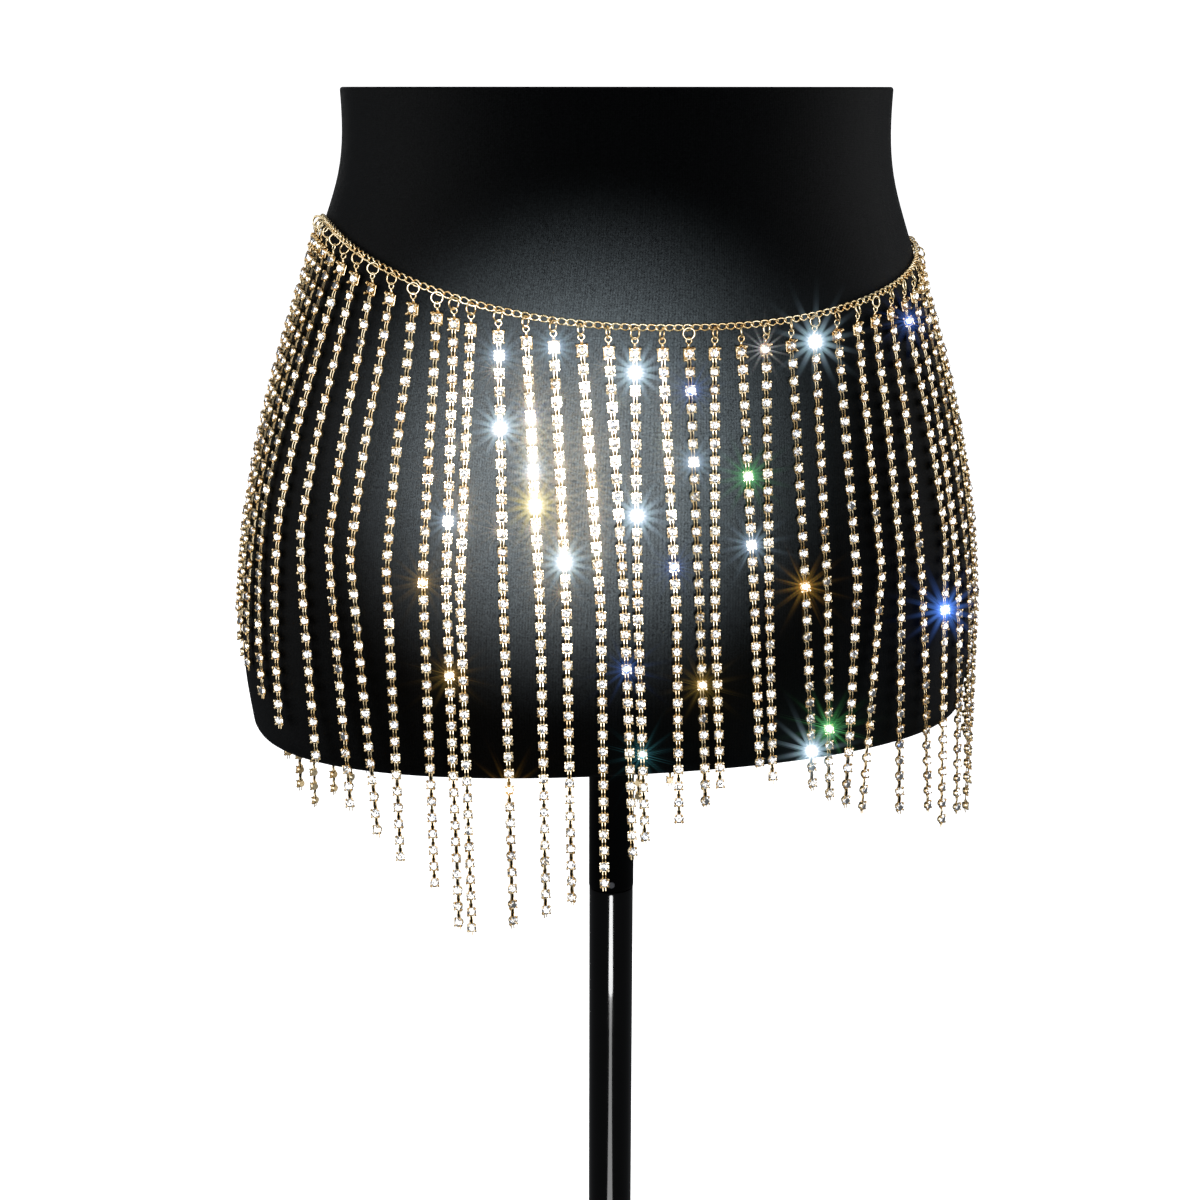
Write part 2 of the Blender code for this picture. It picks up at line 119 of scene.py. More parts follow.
# Waist chain
LINK_PITCH = 0.00335
LINKS_PER_STRAND = 3
END_LINKS = 2
LINK_WIRE = 0.00037
LINK_HEIGHT = 0.0031
LINK_TWIST = math.radians(45.0)
LINK_STEPS = 18
CHAIN_THICKNESS = 0.0018
CHAIN_CLEARANCE = 0.0006
CHAIN_MIDDLE = CHAIN_CLEARANCE + CHAIN_THICKNESS / 2
CHAIN_LEVEL = 0.1892
CHAIN_FRONT_RISE = 0.0052
CHAIN_LEFT_RISE = 0.0058
CHAIN_SIDE_RISE = 0.0132
CHAIN_SIDE_PEAK = 0.0040
CHAIN_PEAK_POWER = 12
CHAIN_BACK_DIP = 0.0215
CHAIN_SAMPLES = 1441
ORIGIN_STRAND_AT = -0.0205
FIRST_STRAND = -37
LAST_STRAND = 37
CLOSE_STRANDS = (-7, -6)

# Strands of cup chain
STONE_PITCH = 0.0068
FIRST_STONE_DROP = 0.0100
TIP_STUB = 0.0035
STRAND_THICKNESS = 0.0026
STRAND_CLEARANCE = 0.0010
DRAPE_STEP = 0.002
SIDE_GRIP = 3.5
HIP_SWAY_AT = 0.110
TIP_SWAY_AT = 0.240
Turn = namedtuple("Turn", "strand stones")
HEM_TURNS = (
    Turn(-37, 25), Turn(-26, 36), Turn(-16, 23), Turn(-5.5, 36.4), Turn(5, 25),
    Turn(15, 35), Turn(26, 23), Turn(37, 35),
)
# Sideways hang in millimetres, a row for each strand from the first one on
FIRST_SWAY = -14
Sway = namedtuple("Sway", "hip tip lift", defaults=(0,))
SWAYS = [Sway(*row) for row in (
    (-9, -6), (-12, -2), (-11, -6), (-10, 2), (-9, 2), (-12, 0), (-10, -6), (-8, -5), (-5, -2),
    (-6, -3), (1, 4), (5, 7), (5, 7), (8, 10), (7, 12), (2, 7), (7, 10), (6, 12), (2, 8),
    (8, 15), (4, 10), (10, 19), (10, 16), (15, 12), (18, 10), (16, 22), (14, 29), (18, 10, 7),
    (12, 26), (10, 27),
)]
SWAY_FADE = 12
BACK_SWAY = 0.0012

# Closure at the back
CHAIN_END = 0.0066
CLASP_LENGTH = 0.0098
EXTENSION_LENGTH = 0.450
EXTENSION_THICKNESS = 0.0016
GAP = 0.0003
EXTENSION_DROP = 0.0024
END_RING_RADIUS = 0.0019
HOOK_LENGTH = 0.0084
HOOK_HEIGHT = 0.0052
HOOK_WIRE = 0.00085
HOOK_TAPER = 0.00045
HOOK_TURN = 1.72
HOOK_STEPS = 22
Bead = namedtuple("Bead", "right up wire")
LEVER = (Bead(-0.0036, -0.0006, 0.0007), Bead(-0.0012, -0.0020, 0.0006),
         Bead(0.0014, -0.0021, 0.0004))
NUB = (Bead(-0.0012, -0.0023, 0.0005), Bead(-0.0016, -0.0032, 0.0003))

# Cup, stone and connector of the cup chain, in the strand's axes: right, out and up
CUP_SIDES = 12
Edge = namedtuple("Edge", "radius out")
CUP_BACK, CUP_RIM = Edge(0.00150, -0.00170), Edge(0.00192, 0.00012)
CUP_MOUTH, CUP_FLOOR = Edge(0.00185, 0.00012), Edge(0.00110, -0.00158)
PRONG_WIDTH = 0.00038
PRONG_DEPTH = 0.00025
Claw = namedtuple("Claw", "radius out share")
PRONG = (Claw(0.00186, -0.0006, 1.0), Claw(0.00222, 0.00036, 1.0),
         Claw(0.00152, 0.00070, 0.7))
STONE_SIDES = 8
STONE_RADIUS = 0.00184
STONE_GIRDLE = 0.00014
STONE_TABLE = 0.00066
STONE_TABLE_RADIUS = 0.00112
STONE_CULET = -0.00146
RAIL_SPREAD = 0.00058
RAIL_WIDTH = 0.00016
RAIL_FLOOR = 0.00006
RAIL_DEPTH = 0.00017
RAIL_BACK = -0.00080
RAIL_BULGE = 0.00035
RAIL_START = 0.0012
STUB_SPREAD = 0.9 * RAIL_SPREAD
STUB_END = 0.0034

# Jump ring, eye and end cap at the top of each strand
RING_WIRE = 0.00034
JUMP_RING_RADIUS = 0.00215
JUMP_RING_DROP = 0.0022
EYE_RADIUS = 0.00115
EYE_DROP = 0.0049
CAP_HALF_WIDTH = 0.00200
CAP_HALF_HEIGHT = 0.00225
CAP_BACK = -0.00105
CAP_PLATE = 0.0005
CAP_BEVEL = 0.00015
Fold = namedtuple("Fold", "spread out width depth")
CAP_CLAW = (
    Fold(1.00, CAP_BACK, 0.00034, 0.00024), Fold(1.02, 0.0002, 0.00046, 0.00034),
    Fold(0.92, 0.0009, 0.00052, 0.00036), Fold(0.72, 0.00105, 0.0003, 0.0002),
)
NECK_WIDTHS = (0.0008, 0.0006, 0.0003)
NECK_DEPTH = 0.0003

# How loosely the pieces hang, in radians
STONE_NOD = math.radians(4.0)
STONE_TURN = math.radians(7.0)
STRAND_TURN = math.radians(6.0)
TIP_TURN = math.radians(34.0)
FREE_ABOVE = 0.004
FREE_LEAST = 0.05
RING_MEAN_TURN = math.radians(42.0)
RING_TURN = math.radians(20.0)
RING_NOD = 0.1
LINK_NOD = 0.05
EXTENSION_NOD = 0.08
RANDOM_SEED = 75
FRINGE_PARTS = {
    "left_back": range(-37, -18), "left_front": range(-18, 0),
    "right_front": range(0, 19), "right_back": range(19, 38),
}

# Stones whose table catches the light: their strand and number from the top, by tint
SPARKLES = {
    "ice": ((1, 1), (-4, 5), (-2, 12), (1, 9), (7, 24), (8, 0)),
    "amber": ((-3, 9),),
    "blue": ((13, 19),),
    "small_ice": ((3, 6), (-6, 11), (5, 11), (-3, 7), (-4, 1), (-2, 0)),
    "small_amber": ((-7, 15), (3, 19), (-4, 26), (-6, 20), (7, 14)),
    "small_blue": ((13, 1), (0, 18), (3, 2), (-3, 4), (2, 12)),
    "small_cyan": ((1, 23),),
    "small_green": ((5, 7), (8, 23)),
}
GLINT_SHIFT = Vector((0.05, 0.0, 0.12))

# Lights and lens
PANEL_TARGET = (0.0, 0.0, 0.42)
Panel = namedtuple("Panel", "name location size power")
PANELS = (
    Panel("key_left", (-1.3, -1.5, 1.25), (0.5, 0.9), 7.0),
    Panel("side_left", (-1.9, 0.0, 0.60), (2.0, 1.7), 21.0),
    Panel("side_right", (1.9, -0.1, 0.60), (2.0, 1.7), 21.0),
    Panel("back", (0.3, 2.0, 0.80), (1.6, 1.4), 8.0),
    Panel("top", (0.0, 0.1, 2.2), (1.2, 0.8), 6.0),
    Panel("front", (-0.2, -1.9, 0.48), (4.0, 2.6), 48.0),
    Panel("front_metal", (-0.1, -1.9, 0.55), (2.2, 1.4), 32.0),
)
Strip = namedtuple("Strip", "name reach size power")
STRIPS = (Strip("strip_far", 0.70, (0.18, 0.50), 13.0),
          Strip("strip_near", 0.30, (0.09, 0.30), 0.9))
Flash = namedtuple("Flash", "name aim power cone colour shines")
FLASHES = (
    Flash("flash_soft", (-0.027, -0.098, 0.466), 1060.0, 11.0, (0.92, 1.0, 1.0), False),
    Flash("flash_hard", (-0.052, -0.098, 0.458), 250.0, 9.6, (1.0, 1.0, 1.0), True),
)
FLASH_SHIFT = Vector((0.03, 0.0, -0.10))
FLOOR_REACH = 4.2
FLOOR_CURVE = 1.2
WALL_HEIGHT = 4.0
LENS_GLARES = {
    "BLOOM": {"Threshold": 6.0, "Strength": 0.09, "Size": 0.26},
    "STREAKS": {"Threshold": 26.0, "Strength": 0.07, "Streaks": 14, "Fade": 0.89,
                "Iterations": 3, "Streaks Angle": 0.2},
}


# The hip form's surface, as in the part's solids

def section_value(column, level):
    """A column of the section table at any level, on a smooth curve through its rows."""
    levels = np.array([row.level for row in FORM_SECTIONS])
    values = np.array([getattr(row, column) for row in FORM_SECTIONS])
    slopes = np.gradient(values, levels)
    level = np.clip(level, levels[0], levels[-1])
    i = np.clip(np.searchsorted(levels, level, side="right") - 1, 0, len(levels) - 2)
    span = levels[i + 1] - levels[i]
    t = (level - levels[i]) / span
    start = values[i] * (1 + 2 * t) * (1 - t) ** 2 + slopes[i] * span * t * (1 - t) ** 2
    end = values[i + 1] * t * t * (3 - 2 * t) + slopes[i + 1] * span * t * t * (t - 1)
    return start + end


def section_point(turn, level, offset=0.0):
    """The point of the form's section at an angle from the front, positive to the right."""
    s, c = np.sin(turn), np.cos(turn)
    depth = section_value("front_depth" if c > 0 else "back_depth", level) + offset
    width = section_value("half_width", level) + offset
    x = width * np.sign(s) * abs(s) ** (2 / SECTION_POWER)
    y = -depth * np.sign(c) * abs(c) ** (2 / SECTION_POWER)
    return np.array([x, y, level])


def section_gradient(point, offset):
    """The section's equation at a point, below zero inside, and its outward gradient."""
    x, y, level = point
    width = section_value("half_width", level) + offset
    depth = section_value("front_depth" if y < 0 else "back_depth", level) + offset
    value = (abs(x) / width) ** SECTION_POWER + (abs(y) / depth) ** SECTION_POWER - 1
    gx = SECTION_POWER * np.sign(x) * (abs(x) / width) ** (SECTION_POWER - 1) / width
    gy = SECTION_POWER * np.sign(y) * (abs(y) / depth) ** (SECTION_POWER - 1) / depth
    return value, gx, gy


def outward(point):
    """The level outward direction of the form at a point, and the one to its right."""
    _, gx, gy = section_gradient(point, 0.0)
    size = math.hypot(gx, gy)
    out = np.array([gx, gy, 0.0]) / size
    return out, np.array([-out[1], out[0], 0.0])


def push_out(point, offset):
    """Move a point that lies inside the form's surface out to it, mostly sideways."""
    point = np.array(point)
    for _ in range(8):
        value, gx, gy = section_gradient(point, offset)
        if value >= 0:
            break
        step = -value / (gx * gx * SIDE_GRIP + gy * gy)
        point[0] += step * gx * SIDE_GRIP
        point[1] += step * gy
    return point


# The waist chain's path, measured from the centre front, and the draped strands

def chain_level(turn):
    s, c = math.sin(turn), math.cos(turn)
    level = CHAIN_LEVEL + CHAIN_FRONT_RISE * c - CHAIN_LEFT_RISE * s
    level -= CHAIN_SIDE_RISE * math.cos(2 * turn)
    level += CHAIN_SIDE_PEAK * s ** CHAIN_PEAK_POWER
    return level - CHAIN_BACK_DIP * min(c, 0.0) ** 2


def walked(points):
    """How far along a line each of its points lies."""
    steps = np.linalg.norm(np.diff(points, axis=0), axis=1)
    return np.concatenate([[0.0], np.cumsum(steps)])


class ChainPath:
    def __init__(self):
        self.turns = np.linspace(-math.pi, math.pi, CHAIN_SAMPLES)
        points = [section_point(turn, chain_level(turn), CHAIN_MIDDLE) for turn in self.turns]
        along = walked(points)
        self.along = along - np.interp(0.0, self.turns, along)
        self.girth = along[-1]

    def turn(self, place):
        """The angle at a place along the chain, also at one past the back."""
        half = self.along[-1]
        place = place - self.girth if place > half else place
        place = place + self.girth if place < self.along[0] else place
        return float(np.interp(place, self.along, self.turns))

    def point(self, place, rise=0.0):
        turn = self.turn(place)
        return section_point(turn, chain_level(turn) + rise, CHAIN_MIDDLE)


def strand_place(strand):
    """Where a strand hangs along the chain; two strands near the front are closer."""
    links = strand * LINKS_PER_STRAND
    links += sum(1 for close in CLOSE_STRANDS if strand <= close)
    return ORIGIN_STRAND_AT + links * LINK_PITCH


def strand_stones(strand):
    strands = [turn.strand for turn in HEM_TURNS]
    stones = [turn.stones for turn in HEM_TURNS]
    return int(round(float(np.interp(strand, strands, stones))))


def strand_length(strand):
    return FIRST_STONE_DROP + (strand_stones(strand) - 1) * STONE_PITCH + TIP_STUB


def strand_sway(strand):
    """Sideways hang at the hip and tip, and the tip's lift, in metres."""
    nearest = min(max(strand, FIRST_SWAY), FIRST_SWAY + len(SWAYS) - 1)
    row = SWAYS[nearest - FIRST_SWAY]
    if strand == nearest:
        return row.hip / 1000, row.tip / 1000, row.lift / 1000
    left = max(0.0, 1 - abs(strand - nearest) / SWAY_FADE)
    wave = BACK_SWAY * math.sin(1.9 * strand)
    return row.hip / 1000 * left + wave, row.tip / 1000 * left + wave, 0.0


def drape(start, length, offset, sway=(0.0, 0.0, 0.0)):
    """Walk down from a point by gravity, kept outside the form, with a sideways hang."""
    hip, tip, lift = sway
    steps = int(round(length / DRAPE_STEP))
    step = length / steps
    out, right = outward(start)
    points = [np.array(start)]
    before = np.zeros(3)
    for i in range(1, steps + 1):
        down = i * step
        aside = np.interp(down, [0.0, HIP_SWAY_AT, TIP_SWAY_AT], [0.0, hip, tip])
        off = lift * max(0.0, 2 * down / length - 1)
        hang = right * aside + out * off
        goal = push_out(points[-1] + hang - before - np.array([0, 0, step]), offset)
        before = hang
        move = goal - points[-1]
        move *= step / np.linalg.norm(move)
        points.append(push_out(points[-1] + move, offset))
    return np.array(points)


# Places: an origin and three axes, which are the right, outward and upward directions

Place = namedtuple("Place", "origin axes")
PATH_REACH = 0.004


def unit(vector):
    return vector / np.linalg.norm(vector)


def lifted(point):
    return np.array([point[0], point[1], point[2] + FORM_BOTTOM])


def path_places(points, distances):
    """Places along a path."""
    along = walked(points)
    for distance in distances:
        spots = [np.array([np.interp(distance + shift, along, points[:, k]) for k in range(3)])
                 for shift in (-PATH_REACH, 0.0, PATH_REACH)]
        down = unit(spots[2] - spots[0])
        _, right = outward(spots[1])
        right = unit(right - down * right.dot(down))
        yield Place(lifted(spots[1]), np.array([right, np.cross(down, right), -down]))


def chain_place_at(path, place):
    """A place on the waist chain, whose right axis runs along it."""
    step = LINK_PITCH / 2
    along = unit(path.point(place + step) - path.point(place - step))
    rise = path.point(place, step) - path.point(place, -step)
    up = unit(rise - along * rise.dot(along))
    return Place(lifted(path.point(place)), np.array([along, np.cross(along, up), up]))


def spun(place, nod=0.0, turn=0.0):
    """A place turned about its own right axis and then its upward one."""
    axes = place.axes
    for angle, i, j in ((nod, 1, 2), (turn, 0, 1)):
        c, s = math.cos(angle), math.sin(angle)
        axes = axes.copy()
        first, second = axes[i].copy(), axes[j].copy()
        axes[i] = first * c + second * s
        axes[j] = second * c - first * s
    return Place(place.origin, axes)


def turned_to(place, goal):
    """A place turned so that its outward axis faces a direction."""
    turn = Vector(place.axes[1]).rotation_difference(Vector(goal))
    return Place(place.origin, np.array([turn @ Vector(axis) for axis in place.axes]))


def moved_out(place, out):
    return Place(place.origin + out * place.axes[1], place.axes)


# Outlines and faces

def circle(radius, count, start=0.0):
    """Corners of a circle as pairs, from a share of a step past its first axis."""
    for i in range(count):
        angle = 2 * math.pi * (i + start) / count
        yield radius * math.cos(angle), radius * math.sin(angle)


def quarter_round(steps):
    """Points of a rounded edge of radius 1: how far inside its side and its end."""
    for i in range(steps + 1):
        angle = math.pi / 2 * i / steps
        yield 1 - math.sin(angle), 1 - math.cos(angle)


def bridge(bm, first, second, smooth=True):
    """Faces between two loops, of which one may be a single point."""
    count = max(len(first), len(second))
    faces = []
    for i in range(count):
        j = (i + 1) % count
        corners = (first[i % len(first)], first[j % len(first)],
                   second[j % len(second)], second[i % len(second)])
        faces.append(bm.faces.new(list(dict.fromkeys(corners))))
        faces[-1].smooth = smooth
    return faces


def close_ends(bm, loops):
    return bm.faces.new(loops[0][::-1]), bm.faces.new(loops[-1])


def sweep(bm, centres, sizes, sides=6, closed=False, deep_axis=(0.0, 1.0, 0.0), smooth=True):
    """A bar along a line of centres: each section has a half width and a half depth."""
    centres = [Vector(centre) for centre in centres]
    count = len(centres)
    reach = math.sqrt(2) if sides == 4 else 1.0
    loops = []
    for i, (centre, (width, depth)) in enumerate(zip(centres, sizes)):
        before = centres[i - 1] if closed or i else centre
        after = centres[(i + 1) % count] if closed or i < count - 1 else centre
        along = (after - before).normalized()
        across = along.cross(Vector(deep_axis)).normalized()
        deep = across.cross(along).normalized()
        loops.append([bm.verts.new(centre + across * width * a + deep * depth * b)
                      for a, b in circle(reach, sides, 0.5)])
    for first, second in zip(loops, loops[1:] + loops[:1] if closed else loops[1:]):
        bridge(bm, first, second, smooth)
    if not closed:
        close_ends(bm, loops)


# Mesh templates

Template = namedtuple("Template", "points loops sizes smooth slots")


def template(bm):
    """A small mesh as arrays, ready to be copied to many places."""
    bmesh.ops.recalc_face_normals(bm, faces=bm.faces)
    bm.verts.index_update()
    points = np.array([vert.co[:] for vert in bm.verts])
    loops = np.array([vert.index for face in bm.faces for vert in face.verts])
    rows = [(len(face.verts), face.smooth, face.material_index) for face in bm.faces]
    bm.free()
    return Template(points, loops, *map(np.array, zip(*rows)))


def round_ring(radius, wire, plane, count=20):
    """A wire ring in the plane of two axes, named by their numbers."""
    bm = bmesh.new()
    centres = np.zeros((count, 3))
    centres[:, plane] = list(circle(radius, count))
    axis = np.ones(3)
    axis[list(plane)] = 0.0
    sweep(bm, centres, [(wire, wire)] * count, closed=True, deep_axis=axis)
    return template(bm)


def curb_link():
    """A long ring, twisted so that neighbours interlock."""
    bm = bmesh.new()
    reach = (LINK_PITCH + 2 * LINK_WIRE) / 2
    rise = LINK_HEIGHT / 2 - LINK_WIRE
    centres = []
    for x, z in circle(1.0, LINK_STEPS):
        twist = LINK_TWIST * x
        centres.append((reach * x, rise * z * math.sin(twist), rise * z * math.cos(twist)))
    sweep(bm, centres, [(LINK_WIRE, LINK_WIRE)] * LINK_STEPS, closed=True)
    return template(bm)


def add_prongs(bm):
    """Four claws at the cup's diagonals that bend over the stone's girdle."""
    for c, s in circle(1.0, 4, 0.5):
        centres = [(row.radius * c, row.out, row.radius * s) for row in PRONG]
        sizes = [(PRONG_WIDTH * row.share, PRONG_DEPTH * row.share) for row in PRONG]
        inward = Vector((-s, 0.0, c)).cross(Vector((0.0, 1.0, 0.0)))
        sweep(bm, centres, sizes, 4, deep_axis=inward + Vector((0.0, 0.5, 0.0)), smooth=False)


def cup():
    """A cup, from its back over its sharp rim to its floor, and its prongs."""
    bm = bmesh.new()
    loops = [[bm.verts.new((x, edge.out, z)) for x, z in circle(edge.radius, CUP_SIDES, 0.5)]
             for edge in (CUP_BACK, CUP_RIM, CUP_MOUTH, CUP_FLOOR)]
    for first, second, smooth in zip(loops, loops[1:], (True, False, True)):
        bridge(bm, first, second, smooth)
    close_ends(bm, loops)
    add_prongs(bm)
    return template(bm)


def stone():
    """A foiled stone: table and eight crown facets in clear glass, and a mirrored back."""
    bm = bmesh.new()
    table = [bm.verts.new((x, STONE_TABLE, z))
             for x, z in circle(STONE_TABLE_RADIUS, STONE_SIDES)]
    girdle = [bm.verts.new((x, STONE_GIRDLE, z))
              for x, z in circle(STONE_RADIUS, STONE_SIDES, 0.5)]
    culet = bm.verts.new((0.0, STONE_CULET, 0.0))
    bm.faces.new(table)
    for i in range(STONE_SIDES):
        j = (i + 1) % STONE_SIDES
        bm.faces.new((table[i], table[j], girdle[i]))
        bm.faces.new((girdle[i], table[j], girdle[j]))
        bm.faces.new((girdle[i], girdle[j], culet)).material_index = 1
    return template(bm)


def add_rails(bm, rows):
    """The two thin rails of a channel, through rows of a spread, an out and an up."""
    for side in (-1, 1):
        centres = [(side * spread, out, up) for spread, out, up in rows]
        sweep(bm, centres, [(RAIL_WIDTH, RAIL_DEPTH)] * len(rows), 4, smooth=False)


def connector():
    """A channel from one cup to the next: two rails, bowed outward, on a near-black floor whose
    colour is painted shade between the rails.
    """
    bm = bmesh.new()
    floor = ((0.0, RAIL_BACK, -RAIL_START), (0.0, RAIL_BACK + RAIL_BULGE, -STONE_PITCH / 2),
             (0.0, RAIL_BACK, RAIL_START - STONE_PITCH))
    sweep(bm, floor, [(RAIL_SPREAD, RAIL_FLOOR)] * 3, 4, smooth=False)
    for face in bm.faces:
        face.material_index = 1
    add_rails(bm, [(RAIL_SPREAD, out, up) for _, out, up in floor])
    return template(bm)


def stub():
    """The cut rails below the last cup."""
    bm = bmesh.new()
    add_rails(bm, ((RAIL_SPREAD, RAIL_BACK, -RAIL_START),
                   (STUB_SPREAD, RAIL_BACK + RAIL_BULGE, -STUB_END)))
    return template(bm)


def end_cap():
    """The crimped cap round the first stone: back plate, four folded claws and a neck."""
    bm = bmesh.new()
    for vert in bmesh.ops.create_cube(bm, size=1.0)["verts"]:
        vert.co.x *= 2 * CAP_HALF_WIDTH
        vert.co.y = vert.co.y * CAP_PLATE + CAP_BACK
        vert.co.z *= 2 * CAP_HALF_HEIGHT
    bmesh.ops.bevel(bm, geom=bm.edges[:], offset=CAP_BEVEL, segments=1, affect="EDGES")
    sizes = [(row.width, row.depth) for row in CAP_CLAW]
    for x in (-1, 1):
        for z in (-1, 1):
            centres = [(x * CAP_HALF_WIDTH * row.spread, row.out, z * CAP_HALF_HEIGHT * row.spread)
                       for row in CAP_CLAW]
            sweep(bm, centres, sizes, 8, deep_axis=(x, 0.6, z))
    neck = ((0.0, CAP_BACK, CAP_HALF_HEIGHT * 0.8), (0.0, CAP_BACK * 0.6, CAP_HALF_HEIGHT + 0.0004),
            (0.0, 0.0, FIRST_STONE_DROP - EYE_DROP - EYE_RADIUS))
    sweep(bm, neck, [(width, NECK_DEPTH) for width in NECK_WIDTHS], 8)
    return template(bm)


def lobster():
    """A thick hook whose mouth a sprung lever with a nub closes."""
    bm = bmesh.new()
    hook = []
    for i in range(HOOK_STEPS):
        share = i / (HOOK_STEPS - 1)
        angle = math.pi * (1.0 - HOOK_TURN * share)
        x = HOOK_LENGTH / 2 * math.cos(angle)
        z = HOOK_HEIGHT / 2 * math.sin(angle) * (1.0 if x > 0 else 0.85)
        hook.append(Bead(x, z, HOOK_WIRE - HOOK_TAPER * share))
    for beads, sides, deep_axis in ((hook, 10, (0.0, 1.0, 0.0)), (LEVER, 8, (0.0, 1.0, 0.0)),
                                    (NUB, 8, (1.0, 0.0, 0.0))):
        centres = [(bead.right, 0.0, bead.up) for bead in beads]
        sweep(bm, centres, [(bead.wire, bead.wire) for bead in beads], sides, False, deep_axis)
    return template(bm)


# Materials

class Nodes:
    """A node tree, with one call that makes, sets and links a node."""

    def __init__(self, tree, prefix):
        self.tree = tree
        self.prefix = prefix

    def node(self, kind, inputs=None, **properties):
        node = self.tree.nodes.new(self.prefix + kind)
        for name, value in properties.items():
            setattr(node, name, value)
        for socket, value in (inputs or {}).items():
            if isinstance(value, bpy.types.NodeSocket):
                self.tree.links.new(value, node.inputs[socket])
            else:
                node.inputs[socket].default_value = value
        return node


class Surface(Nodes):
    """A material's node tree, with short calls for its nodes and links."""

    def __init__(self, name, **values):
        self.material = bpy.data.materials.new(name)
        self.material.use_nodes = True
        super().__init__(self.material.node_tree, "ShaderNode")
        self.shader = self.tree.nodes["Principled BSDF"]
        for socket, value in values.items():
            self.shader.inputs[socket.replace("_", " ")].default_value = value

    def coordinates(self, stretch=(1.0, 1.0, 1.0)):
        source = self.node("TexCoord").outputs["Object"]
        return self.node("Mapping", {"Vector": source, "Scale": stretch}).outputs[0]

    def noise(self, scale, detail=3.0, roughness=0.5, vector=None):
        vector = vector or self.coordinates()
        inputs = {"Vector": vector, "Scale": scale, "Detail": detail, "Roughness": roughness}
        return self.node("TexNoise", inputs).outputs["Fac"]

    def tone(self):
        return self.node("Attribute", attribute_name="tone").outputs["Fac"]

    def ramp(self, factor, stops, interpolation="LINEAR"):
        node = self.node("ValToRGB", {"Fac": factor})
        elements = node.color_ramp.elements
        node.color_ramp.interpolation = interpolation
        while len(elements) < len(stops):
            elements.new(1.0)
        for element, (position, colour) in zip(elements, stops):
            element.position = position
            element.color = (*colour, 1.0)
        return node.outputs["Color"]

    def tint(self, column):
        """The stone's colour by its tone, from a column of the table of tints."""
        stops = [(tint.start, getattr(tint, column)) for tint in STONE_TINTS]
        return self.ramp(self.tone(), stops, "CONSTANT")

    def maths(self, operation, first, second=0.0):
        return self.node("Math", {0: first, 1: second}, operation=operation).outputs[0]

    def times(self, first, second):
        return self.maths("MULTIPLY", first, second)

    def plus(self, first, second):
        return self.maths("ADD", first, second)

    def mixed(self, factor, first, second):
        inputs = {0: factor, 6: first, 7: second}
        return self.node("Mix", inputs, data_type="RGBA").outputs[2]

    def link(self, output, socket="Base Color"):
        self.tree.links.new(output, self.shader.inputs[socket])

    def rough(self, value, low, high):
        inputs = {"Value": value, "To Min": low, "To Max": high}
        self.link(self.node("MapRange", inputs).outputs["Result"], "Roughness")

    def bump(self, height, strength, distance):
        inputs = {"Height": height, "Strength": strength, "Distance": distance}
        self.link(self.node("Bump", inputs).outputs["Normal"], "Normal")


def gold_material(name, light, deep, low, high):
    """Polished gold plate, a little deeper and duller in patches."""
    look = Surface(name, Metallic=1.0)
    patches = look.noise(420.0, 4.0, 0.6)
    blend = look.plus(look.times(patches, 0.6), look.times(look.tone(), 0.4))
    look.link(look.ramp(blend, ((0.30, deep), (0.62, light))))
    look.rough(look.noise(900.0), low, high)
    look.bump(look.noise(2600.0, 2.0), 0.15, 0.00004)
    return look.material


# A stone's tone from each start on has the row's glass, and its facets reflect the row's glint
# tint. From the ice row on, the glass and glint tints are painted fire that stands in for the
# colours of dispersion, and the small rows' darker glint tints paint dimmer glints.
Tint = namedtuple("Tint", "name start glass shine")
WHITE = (1.0, 1.0, 1.0)
STONE_TINTS = (
    Tint("clear", 0.000, WHITE, WHITE),
    Tint("warm", 0.600, (1.00, 0.98, 0.93), WHITE),
    Tint("cool", 0.800, (0.93, 0.96, 1.00), WHITE),
    Tint("ice", 0.905, WHITE, (0.58, 0.84, 1.00)),
    Tint("amber", 0.915, (1.00, 0.86, 0.40), (1.00, 0.74, 0.03)),
    Tint("blue", 0.925, (0.62, 0.76, 1.00), (0.10, 0.28, 1.00)),
    Tint("small_ice", 0.935, WHITE, (0.24, 0.34, 0.44)),
    Tint("small_amber", 0.945, (1.00, 0.80, 0.46), (0.28, 0.14, 0.02)),
    Tint("small_blue", 0.957, (0.55, 0.70, 1.00), (0.03, 0.08, 0.30)),
    Tint("small_cyan", 0.970, (0.62, 0.96, 1.00), (0.03, 0.15, 0.18)),
    Tint("small_green", 0.985, (0.66, 1.00, 0.70), (0.06, 0.32, 0.09)),
)
TINT_MIDDLE = 0.006
COLOURED_FROM = 0.905
COLOURED_SHARE = 0.008


def crystal_material():
    """Clear faceted glass; a few stones have painted coloured glints and tinted glass that stand in
    for dispersion fire.
    """
    look = Surface("crystal_glass", Transmission_Weight=1.0, IOR=1.58, Specular_IOR_Level=0.5)
    look.link(look.tint("glass"))
    look.link(look.tint("shine"), "Specular Tint")
    look.rough(look.noise(1500.0), 0.0, 0.03)
    return look.material


def foil_material():
    """The mirror foil on a stone's back."""
    look = Surface("crystal_foil", Metallic=1.0)
    # The fire stones' foils take their painted glass tint too.
    tint = look.tint("glass")
    look.link(look.mixed(look.noise(1800.0), tint, (0.82, 0.84, 0.88, 1.0)))
    look.rough(look.noise(1200.0), 0.04, 0.12)
    return look.material


